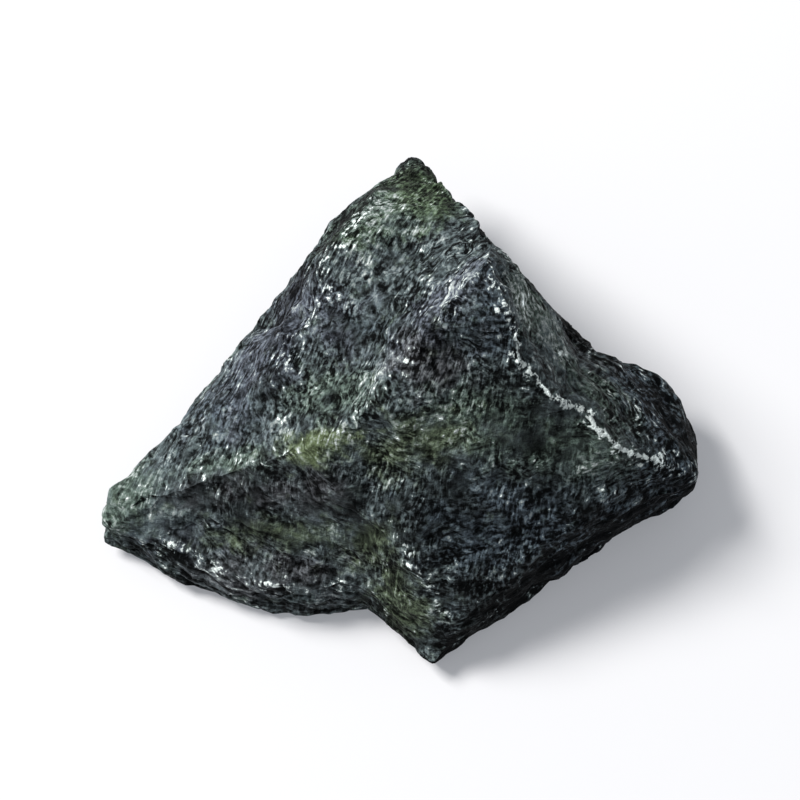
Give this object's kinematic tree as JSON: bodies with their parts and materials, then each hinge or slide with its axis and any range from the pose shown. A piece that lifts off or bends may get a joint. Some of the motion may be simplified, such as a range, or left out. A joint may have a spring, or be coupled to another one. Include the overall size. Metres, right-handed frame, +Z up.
{
  "type": "raw serpentinite stone",
  "caption": "Angular raw chunk of dark green serpentinite with a peak, two ridges, a spur and one flat face to rest on.",
  "frame": {"origin": "centre of the stone's box, on the flat fracture face that it rests on", "axes": "+X along the stone's longest extent, from the thin west tip to the thick east end; +Z up, away from the resting face; +Y towards the pointed north tip"},
  "size_m": [0.048, 0.041, 0.025],
  "materials": {
    "serpentinite": "freshly broken, waxy to dull, dark green-black with olive patches and pale bruised ridges"
  },
  "bodies": {
    "root": {"stone": "serpentinite"}
  },
  "joints": []
}
